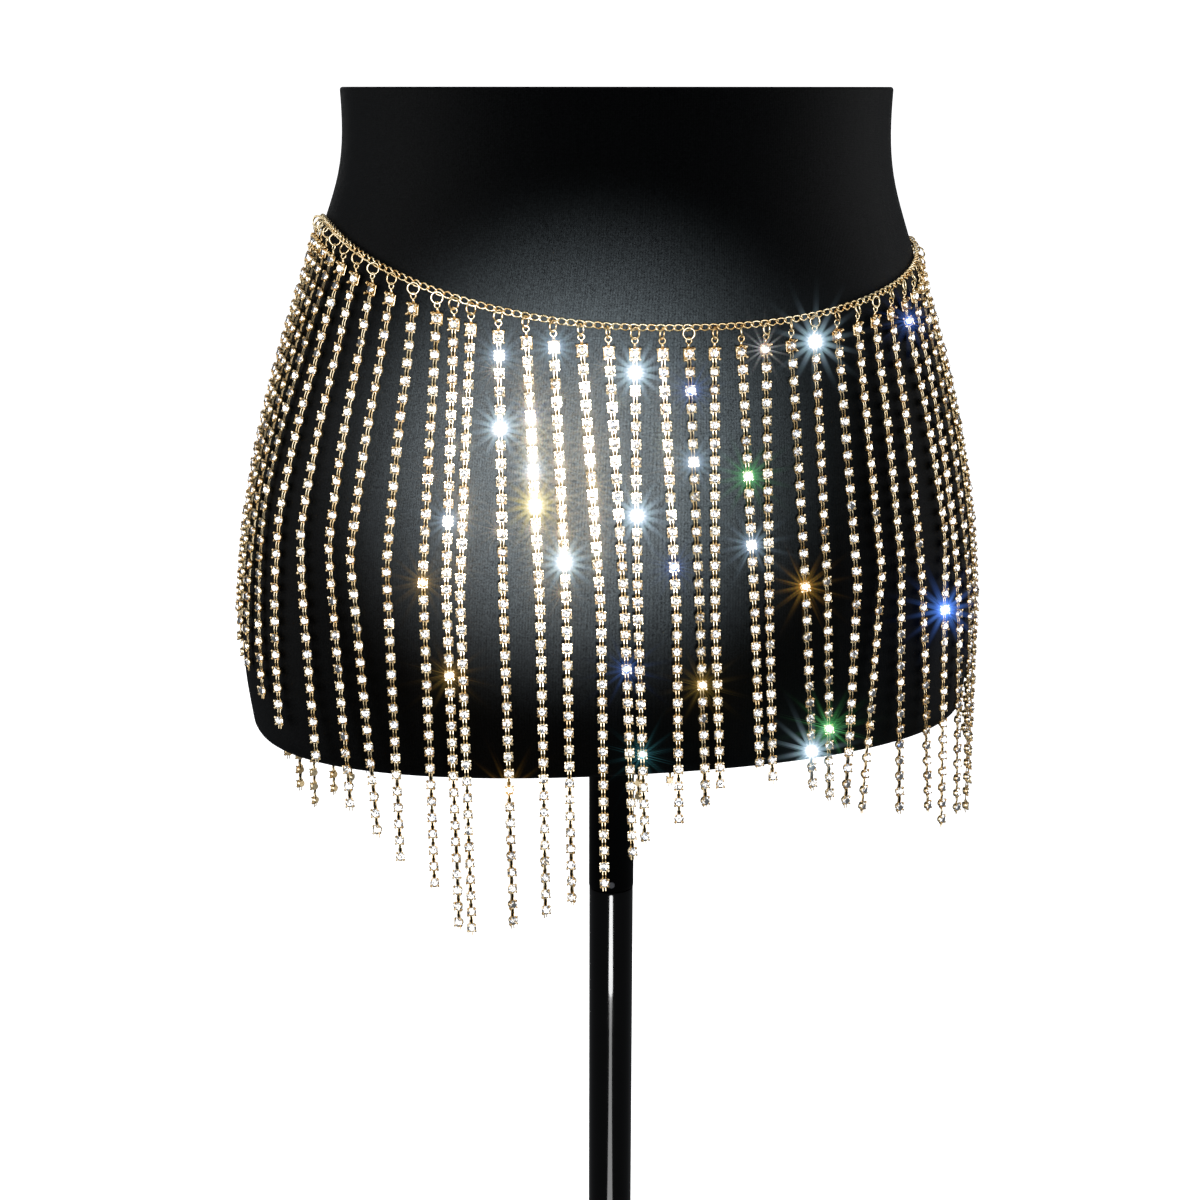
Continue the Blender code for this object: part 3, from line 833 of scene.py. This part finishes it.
def jersey_material():
    """Fine black knit: upright ridges of stitches with a soft sheen."""
    look = Surface("black_jersey_knit", Sheen_Weight=0.004, Sheen_Roughness=0.45,
                      Sheen_Tint=(0.70, 0.80, 0.90, 1.0), Specular_IOR_Level=0.04)
    knit = look.node("UVMap", uv_map="knit").outputs["UV"]
    parts = look.node("SeparateXYZ", {"Vector": knit})
    across = look.times(parts.outputs["X"], math.pi / KNIT_WALE)
    down = look.times(parts.outputs["Y"], 2 * math.pi / KNIT_COURSE)
    ridge = look.maths("ABSOLUTE", look.maths("SINE", across))
    slanted = look.plus(down, look.times(ridge, 2.0))
    height = look.plus(ridge, look.times(look.maths("SINE", slanted), 0.35))
    stretched = look.node("Mapping", {"Vector": knit, "Scale": (1100.0, 26.0, 1.0)})
    streaks = look.noise(1.0, 3.0, 0.6, stretched.outputs[0])
    fibres = look.noise(1700.0, 4.0, 0.7)
    # The colour is a little darker in the grooves between the knit's ridges and loops, a painted
    # shade; the streaks and fibres are the yarn's own uneven tone.
    groove_shade_and_tone = look.plus(look.times(height, 0.08), look.times(streaks, 0.12))
    groove_shade_and_tone = look.plus(groove_shade_and_tone, fibres)
    look.link(look.ramp(groove_shade_and_tone, ((0.42, (0.0006, 0.0006, 0.0007)),
                                      (0.83, (0.0084, 0.0094, 0.0102)))))
    look.rough(streaks, 0.52, 0.68)
    look.bump(height, 0.25, 0.00012)
    return look.material


def channel_shade_material():
    """The near-black floor of the channels between the cups: painted shade that stands in for the
    shadow between the rails.
    """
    look = Surface("tarnished_brass", Metallic=1.0)
    patches = look.noise(700.0, 4.0, 0.6)
    look.link(look.ramp(patches, ((0.35, (0.003, 0.003, 0.002)),
                                        (0.70, (0.016, 0.012, 0.008)))))
    look.rough(look.noise(900.0), 0.35, 0.60)
    return look.material


def painted_material(name, value, low, high, coat):
    """Black paint with a faint orange-peel surface."""
    look = Surface(name, Coat_Weight=coat, Coat_Roughness=0.04, Specular_IOR_Level=0.10)
    dusty = value * 1.8 + 0.0002
    look.link(look.mixed(look.noise(60.0, 5.0, 0.6), (value, value, value, 1.0),
                               (dusty, dusty, dusty, 1.0)))
    look.rough(look.noise(140.0, 4.0), low, high)
    look.bump(look.noise(900.0, 2.0), 0.05, 0.0001)
    return look.material


def steel_material():
    look = Surface("screw_steel_turned", Metallic=1.0)
    stretched = look.coordinates((1.0, 1.0, 12.0))
    turned = look.noise(500.0, 4.0, 0.6, stretched)
    look.link(look.ramp(turned, ((0.3, (0.34, 0.34, 0.35)), (0.7, (0.60, 0.60, 0.61)))))
    look.rough(turned, 0.22, 0.42)
    return look.material


# Pieces

def added(name, data):
    obj = bpy.data.objects.new(name, data)
    bpy.context.scene.collection.objects.link(obj)
    return obj


def add_piece(name, mesh, replaced):
    piece = added(name, mesh)
    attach(piece, "root")
    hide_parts(replaced)


def finished_mesh(name, bm, material, sharp_from):
    """A mesh with outward faces, whose edges are sharp from an angle in degrees on."""
    bmesh.ops.recalc_face_normals(bm, faces=bm.faces)
    mesh = bpy.data.meshes.new(name)
    bm.to_mesh(mesh)
    bm.free()
    mesh.set_sharp_from_angle(angle=math.radians(sharp_from))
    mesh.materials.append(material)
    return mesh


def add_copies(name, groups, materials, replaced="fringed_waist_chain"):
    """One piece of several templates, copied to places with a tone for each."""
    columns = []
    total = 0
    for source, places, tones in groups:
        origins = np.array([place.origin for place in places])
        axes = np.array([place.axes for place in places])
        spots = origins[:, None, :] + np.einsum("vk,mkc->mvc", source.points, axes)
        count, corners = len(places), len(source.points)
        starts = total + np.arange(count)[:, None] * corners
        faces = [np.tile(part, count) for part in (source.sizes, source.smooth, source.slots)]
        columns.append((spots.ravel(), (source.loops[None, :] + starts).ravel(), *faces,
                        np.repeat(tones, corners)))
        total += count * corners
    points, loops, sizes, smooth, slots, tones = map(np.concatenate, zip(*columns))
    mesh = bpy.data.meshes.new(name)
    mesh.vertices.add(total)
    mesh.loops.add(len(loops))
    mesh.polygons.add(len(sizes))
    mesh.vertices.foreach_set("co", points)
    for field, values in (("loop_start", np.cumsum(sizes) - sizes), ("vertices", loops),
                          ("material_index", slots), ("use_smooth", smooth)):
        mesh.polygons.foreach_set(field, values)
    mesh.attributes.new("tone", "FLOAT", "POINT").data.foreach_set("value", tones)
    mesh.update(calc_edges=True)
    mesh.validate()
    for material in materials:
        mesh.materials.append(material)
    add_piece(name, mesh, replaced)


def toned(source, places, rng, highest=1.0):
    return source, places, rng.uniform(0.0, highest, len(places))


class Strand:
    """A draped strand: the places of its ring, eye, cap, cups, stones and connectors."""

    def __init__(self, path, strand, rng):
        offset = STRAND_CLEARANCE + STRAND_THICKNESS / 2
        start = path.point(strand_place(strand))
        points = drape(start, strand_length(strand), offset, strand_sway(strand))
        count = strand_stones(strand)
        base = list(path_places(points, FIRST_STONE_DROP + np.arange(count) * STONE_PITCH))
        lean = rng.normal(0.0, STRAND_TURN)
        tip_turn = rng.uniform(-TIP_TURN, TIP_TURN)
        free = [max(0.0, FORM_BOTTOM + FREE_ABOVE - place.origin[2]) for place in base]
        most = max(free[-1], FREE_LEAST)
        turns = [lean + tip_turn * (drop / most) for drop in free]
        self.cups = [spun(place, rng.normal(0.0, STONE_NOD), turn + rng.normal(0.0, STONE_TURN))
                     for place, turn in zip(base, turns)]
        self.tones = rng.uniform(size=count) * (COLOURED_FROM - 0.001)
        coloured = rng.uniform(size=count) < COLOURED_SHARE
        self.tones[coloured] = rng.uniform(COLOURED_FROM, 1.0, count)[coloured]
        self.joins = [self.join(base[i], base[i + 1], (turns[i] + turns[i + 1]) / 2)
                      for i in range(count - 1)]
        self.tip = spun(base[-1], 0.0, turns[-1])
        top, eye = path_places(points, [JUMP_RING_DROP, EYE_DROP])
        ring_turn = rng.normal(RING_MEAN_TURN, RING_TURN)
        self.ring = spun(moved_out(top, 0.0005), rng.normal(0.0, RING_NOD), ring_turn)
        self.eye = spun(eye, rng.normal(0.0, RING_NOD), lean)
        self.cap = spun(base[0], 0.0, lean)

    def catch_light(self, stone, tone):
        """Turn a stone so that its table throws the glint light to the camera."""
        spot = Vector(self.cups[stone].origin)
        viewer = camera_spot()
        goal = (viewer - spot).normalized() + (viewer + GLINT_SHIFT - spot).normalized()
        self.cups[stone] = turned_to(self.cups[stone], goal.normalized())
        self.tones[stone] = tone

    @staticmethod
    def join(above, below, turn):
        up = unit(above.origin - below.origin)
        right = unit(above.axes[0] - up * above.axes[0].dot(up))
        return spun(Place(above.origin, np.array([right, np.cross(right, up), up])), turn=turn)


def make_fringe(path, rng, gold, dark, crystal, foil):
    cup_shape, stone_shape, rails, cut = cup(), stone(), connector(), stub()
    strands = {n: Strand(path, n, rng) for n in range(FIRST_STRAND, LAST_STRAND + 1)}
    starts = {tint.name: tint.start for tint in STONE_TINTS}
    for colour, stones in SPARKLES.items():
        for strand, number in stones:
            strands[strand].catch_light(number, starts[colour] + TINT_MIDDLE)
    for part, members in FRINGE_PARTS.items():
        chosen = [strands[n] for n in members]
        cups = [place for strand in chosen for place in strand.cups]
        joins = [place for strand in chosen for place in strand.joins]
        tips = [strand.tip for strand in chosen]
        groups = (toned(cup_shape, cups, rng), toned(rails, joins, rng), toned(cut, tips, rng))
        add_copies(f"cup_chain_{part}", groups, [gold, dark])
        tones = np.concatenate([strand.tones for strand in chosen])
        add_copies(f"crystals_{part}", [(stone_shape, cups, tones)], [crystal, foil])
    return strands.values()


def make_hangers(strands, rng, gold):
    """The jump rings, eyes and end caps that hang the strands from the chain."""
    ring = round_ring(JUMP_RING_RADIUS, RING_WIRE, (1, 2))
    eye = round_ring(EYE_RADIUS, RING_WIRE * 0.85, (0, 2), 16)
    groups = (toned(ring, [strand.ring for strand in strands], rng),
              toned(eye, [strand.eye for strand in strands], rng),
              toned(end_cap(), [strand.cap for strand in strands], rng, 0.5))
    add_copies("rings_and_end_caps", groups, [gold])


def make_waist_chain(path, rng, gold):
    first = strand_place(FIRST_STRAND) - END_LINKS * LINK_PITCH
    last = strand_place(LAST_STRAND) + END_LINKS * LINK_PITCH
    count = int(round((last - first) / LINK_PITCH)) + 1
    places = [chain_place_at(path, first + i * LINK_PITCH) for i in range(count)]
    places = [spun(place, rng.normal(0.0, LINK_NOD)) for place in places]
    add_copies("waist_chain", [toned(curb_link(), places, rng)], [gold])


def make_extension(path, rng, gold, place):
    offset = CHAIN_CLEARANCE + EXTENSION_THICKNESS / 2
    points = drape(path.point(place, -EXTENSION_DROP), EXTENSION_LENGTH, offset)
    count = int(EXTENSION_LENGTH / LINK_PITCH)
    places = []
    for base in path_places(points, (np.arange(count) + 0.5) * LINK_PITCH):
        right, out, up = base.axes
        turned = Place(base.origin, np.array([-up, out, right]))
        places.append(spun(turned, rng.normal(0.0, EXTENSION_NOD)))
    add_copies("extension_links", [toned(curb_link(), places, rng)], [gold],
               replaced="extension_chain")


def make_closure(path, rng, gold):
    """The clasp on the chain's left end, hooked into the ring on its right end."""
    ring_at = strand_place(LAST_STRAND) + CHAIN_END + GAP + END_RING_RADIUS + 0.0002
    clasp_at = path.girth + strand_place(FIRST_STRAND) - CHAIN_END - GAP - CLASP_LENGTH / 2
    place = moved_out(chain_place_at(path, ring_at), 0.0002)
    ring = round_ring(END_RING_RADIUS, RING_WIRE, (0, 2))
    add_copies("clasp_ring", [(ring, [place], [0.4])], [gold], replaced="end_ring")
    place = spun(moved_out(chain_place_at(path, clasp_at), 0.0006), turn=math.pi)
    add_copies("clasp_body", [(lobster(), [place], [0.6])], [gold], replaced="lobster_clasp")
    make_extension(path, rng, gold, ring_at)


def form_rows():
    """The form's rows from its underside up: a level and how far inside the section."""
    shoulder = FORM_TOP - FORM_TOP_EDGE
    rows = [(FORM_EDGE_RADIUS * end, FORM_EDGE_RADIUS * side)
            for side, end in quarter_round(EDGE_STEPS)][:-1]
    rows += [(level, 0.0) for level in np.linspace(FORM_EDGE_RADIUS, shoulder, FORM_ROWS)]
    rows += [(shoulder + FORM_TOP_EDGE * (1 - side), FORM_TOP_EDGE * end)
             for side, end in quarter_round(3)][1:]
    return rows


def form_point(turn, level, inset):
    point = section_point(turn, level, -inset)
    share = max(0.0, (level - FORM_TILT_START) / (FORM_TOP - FORM_TILT_START))
    rise = -FORM_TOP_RISE_TO_FRONT * point[1] - FORM_TOP_RISE_TO_LEFT * point[0]
    return lifted(point + np.array([0.0, 0.0, share * rise]))


def make_form(material):
    """The hip form, whose knit runs along a map of metres round and up."""
    bm = bmesh.new()
    knit = bm.loops.layers.uv.new("knit")
    rows = form_rows()
    turns = [2 * math.pi * i / FORM_COLUMNS - math.pi for i in range(FORM_COLUMNS)]
    loops = [[bm.verts.new(form_point(turn, *row)) for turn in turns] for row in rows]
    step = FORM_GIRTH / FORM_COLUMNS
    for (low, _), (high, _), first, second in zip(rows, rows[1:], loops, loops[1:]):
        for i, face in enumerate(bridge(bm, first, second)):
            marks = ((i, low), (i + 1, low), (i + 1, high), (i, high))
            for corner, (column, level) in zip(face.loops, marks):
                corner[knit].uv = (column * step, level)
    for face in close_ends(bm, loops):
        for corner in face.loops:
            corner[knit].uv = corner.vert.co.xy
    mesh = finished_mesh("jersey_form", bm, material, 50.0)
    add_piece("jersey_form", mesh, "hip_form")


def turned_piece(name, profile, material, replaced):
    """A closed solid turned about the pole's axis, from its top to its underside."""
    bm = bmesh.new()
    loops = [[bm.verts.new((x, y, height))
              for x, y in circle(radius, ROUND_SIDES if radius > 0 else 1)]
             for radius, height in profile]
    for first, second in zip(loops, loops[1:]):
        bridge(bm, first, second)
    bmesh.ops.remove_doubles(bm, verts=bm.verts, dist=1e-7)
    add_piece(name, finished_mesh(name, bm, material, 40.0), replaced)


def rounded(radius, height, up, size=EDGE_ROUND, steps=3):
    """A rounded outer edge of a profile: up is 1 at a piece's top and -1 at its foot."""
    points = [(radius - size * side, height - up * size * end)
              for side, end in quarter_round(steps)]
    return points if up > 0 else points[::-1]


def make_stand(gloss, satin):
    rim = BASE_RIM_THICKNESS
    base = [(0.0, BASE_THICKNESS), (2 * COLLAR_RADIUS, BASE_THICKNESS),
            (BASE_RADIUS - 4 * BASE_EDGE, rim + BASE_EDGE)]
    base += rounded(BASE_RADIUS, rim, 1, BASE_EDGE, 4) + rounded(BASE_RADIUS, 0.0, -1)
    base.append((0.0, 0.0))
    turned_piece("base_plate", base, gloss, "base")
    bottom = BASE_THICKNESS + GAP
    shoulder = FORM_BOTTOM - SLEEVE_LENGTH - GAP
    tip = shoulder + SPIGOT_LENGTH
    pole = [(0.0, tip), (SPIGOT_RADIUS, tip), (SPIGOT_RADIUS, shoulder)]
    pole += rounded(POLE_RADIUS, shoulder, 1)
    pole += [(POLE_RADIUS, shoulder - 3 * EDGE_ROUND), (POLE_RADIUS, bottom), (0.0, bottom)]
    turned_piece("pole_tube", pole, gloss, "pole")
    collar_top = bottom + COLLAR_HEIGHT
    bore = POLE_RADIUS + GAP
    collar = [(bore, collar_top), (COLLAR_RADIUS - COLLAR_CHAMFER, collar_top),
              (COLLAR_RADIUS, collar_top - COLLAR_CHAMFER), (COLLAR_RADIUS, bottom),
              (bore, bottom), (bore, collar_top)]
    turned_piece("collar_ring", collar, gloss, "pole_collar")
    top = FORM_BOTTOM - GAP
    end = FORM_BOTTOM - SLEEVE_LENGTH
    under = top - FLANGE_THICKNESS
    sleeve = [(0.0, top), (FLANGE_RADIUS, top), (FLANGE_RADIUS, under), (SLEEVE_RADIUS, under),
              (SLEEVE_RADIUS, end + 3 * EDGE_ROUND)]
    sleeve += rounded(SLEEVE_RADIUS, end, -1)
    bore, depth = SPIGOT_RADIUS + GAP, end + SPIGOT_LENGTH + GAP
    sleeve += [(bore, end), (bore, depth), (0.0, depth)]
    turned_piece("socket_sleeve", sleeve, satin, "form_socket")


# Stage

def look_from(obj, location, target, roll=0.0):
    forward = (target - location).normalized()
    right = forward.cross(Vector((0.0, 0.0, 1.0))).normalized()
    level = Matrix((right, right.cross(forward), -forward)).transposed()
    turned = level @ Matrix.Rotation(roll, 3, "Z")
    obj.matrix_world = Matrix.Translation(location) @ turned.to_4x4()


def camera_spot():
    a, e = CAMERA_AZIMUTH, CAMERA_ELEVATION
    back = Vector((math.sin(a) * math.cos(e), -math.cos(a) * math.cos(e), math.sin(e)))
    return CAMERA_TARGET + back * CAMERA_DISTANCE


def make_camera():
    data = bpy.data.cameras.new("camera")
    data.sensor_width = SENSOR
    data.lens = FOCAL_PIXELS * SENSOR / IMAGE_WIDTH
    data.clip_start = 0.01
    camera = added("camera", data)
    look_from(camera, camera_spot(), CAMERA_TARGET, CAMERA_ROLL)
    bpy.context.scene.camera = camera


def add_light(name, kind, location, target, power, **values):
    """A light that the camera doesn't see, with more settings of its data."""
    data = bpy.data.lights.new(name, kind)
    data.energy = power
    for key, value in values.items():
        setattr(data, key, value)
    light = added(name, data)
    light.visible_camera = False
    look_from(light, Vector(location), Vector(target))
    return light


def add_panel(name, location, size, power, target=PANEL_TARGET):
    return add_light(name, "AREA", location, target, power, shape="RECTANGLE", size=size[0],
                     size_y=size[1])


def flag(light, pieces, state):
    """Let a light reach only the given pieces, or all the others."""
    group = bpy.data.collections.new(light.name + "_flag")
    for piece in pieces:
        group.objects.link(piece)
    for member in group.collection_objects:
        member.light_linking.link_state = state
    light.light_linking.receiver_collection = group


def make_lights():
    objects = bpy.data.objects
    stand = [objects["pole_tube"], objects["socket_sleeve"], frame["nodes"]["set_screw"]]
    jersey = [objects["jersey_form"]]
    metal = [piece for piece in objects if piece.name.startswith("cup_chain")]
    metal += [objects["rings_and_end_caps"], objects["waist_chain"]]
    stones = [piece for piece in objects if piece.name.startswith("crystals")]
    lights = {panel.name: add_panel(*panel) for panel in PANELS}
    flag(lights["front_metal"], metal, "INCLUDE")
    flag(lights["front"], stand + metal + jersey, "EXCLUDE")
    flag(lights["side_left"], stand, "EXCLUDE")
    flag(lights["side_right"], stand, "EXCLUDE")
    flag(lights["key_left"], stand + jersey, "EXCLUDE")
    turn = Vector((math.sin(CAMERA_AZIMUTH), -math.cos(CAMERA_AZIMUTH), 0.0))
    for strip in STRIPS:
        spot = turn * strip.reach + Vector((0.0, 0.0, 0.002))
        above = turn * (strip.reach - 0.01) + Vector((0.0, 0.0, 1.0))
        light = add_panel(strip.name, spot, strip.size, strip.power, above)
        flag(light, stand[:1], "INCLUDE")
    beside = camera_spot() + FLASH_SHIFT
    for flash in FLASHES:
        light = add_light(flash.name, "SPOT", beside, flash.aim, flash.power,
                          spot_size=math.radians(flash.cone), spot_blend=1.0,
                          shadow_soft_size=0.03, color=flash.colour)
        light.visible_glossy = flash.shines
        light.visible_transmission = False
    glint = add_light("glint", "POINT", camera_spot() + GLINT_SHIFT, PANEL_TARGET, 8.0,
                      shadow_soft_size=0.008)
    glint.visible_transmission = False
    flag(glint, stones, "INCLUDE")


def make_backdrop():
    """A round pale floor that curves up into a wall on all sides."""
    profile = [(FLOOR_REACH - FLOOR_CURVE * side, FLOOR_CURVE * end)
               for side, end in quarter_round(12)]
    profile.append((FLOOR_REACH, WALL_HEIGHT))
    bm = bmesh.new()
    loops = [[bm.verts.new((x, y, level)) for x, y in circle(radius, 48)]
             for radius, level in profile]
    bm.faces.new(loops[0])
    for first, second in zip(loops, loops[1:]):
        bridge(bm, first, second)
    look = Surface("pale_paper", Roughness=0.9, Emission_Color=(1.0, 1.0, 1.0, 1.0),
                      Emission_Strength=0.95)
    look.link(look.mixed(look.noise(3.0), (0.90, 0.90, 0.90, 1.0),
                               (0.93, 0.93, 0.93, 1.0)))
    backdrop = added("backdrop", finished_mesh("backdrop", bm, look.material, 60.0))
    for ray in ("diffuse", "glossy", "transmission", "shadow"):
        setattr(backdrop, "visible_" + ray, False)


def make_world():
    world = bpy.data.worlds.new("studio")
    world.use_nodes = True
    background = world.node_tree.nodes["Background"]
    background.inputs["Color"].default_value = (0.80, 0.84, 0.90, 1.0)
    background.inputs["Strength"].default_value = 0.13
    scene = bpy.context.scene
    scene.world = world
    scene.view_settings.view_transform = "Standard"


def make_lens():
    """Glow and rays of the brightest stones, and brights that fade to white."""
    scene = bpy.context.scene
    scene.use_nodes = True
    scene.node_tree.nodes.clear()
    lens = Nodes(scene.node_tree, "CompositorNode")
    image = lens.node("RLayers").outputs["Image"]
    for kind, values in LENS_GLARES.items():
        inputs = {"Image": image, "Clamp": True, "Maximum": 160.0, **values}
        image = lens.node("Glare", inputs, glare_type=kind, quality="HIGH")
        image = image.outputs["Image"]
    grey = lens.node("RGBToBW", {"Image": image}).outputs["Val"]
    inputs = {"Value": grey, "From Min": 0.36, "From Max": 1.50, "To Min": 0.0, "To Max": 0.85}
    share = lens.node("MapRange", inputs, use_clamp=True).outputs["Value"]
    faded = lens.node("MixRGB", {0: share, 1: image, 2: grey}).outputs["Image"]
    lens.node("Composite", {"Image": faded})


def main():
    make_camera()
    make_world()
    make_backdrop()
    make_lens()
    rng = np.random.default_rng(RANDOM_SEED)
    pale_gold = gold_material("pale_gold_plate", (1.0, 0.82, 0.50), (0.80, 0.56, 0.26), 0.22, 0.40)
    warm_gold = gold_material("warm_gold_plate", (1.0, 0.83, 0.49), (0.84, 0.58, 0.26), 0.18, 0.34)
    path = ChainPath()
    strands = make_fringe(path, rng, pale_gold, channel_shade_material(), crystal_material(),
                          foil_material())
    make_hangers(strands, rng, warm_gold)
    make_waist_chain(path, rng, warm_gold)
    make_closure(path, rng, warm_gold)
    make_form(jersey_material())
    make_stand(painted_material("gloss_black_paint", 0.0005, 0.08, 0.16, 0.3),
               painted_material("satin_black_paint", 0.0010, 0.42, 0.55, 0.0))
    screw = frame["nodes"]["set_screw"].data.materials
    screw.clear()
    screw.append(steel_material())
    make_lights()


main()
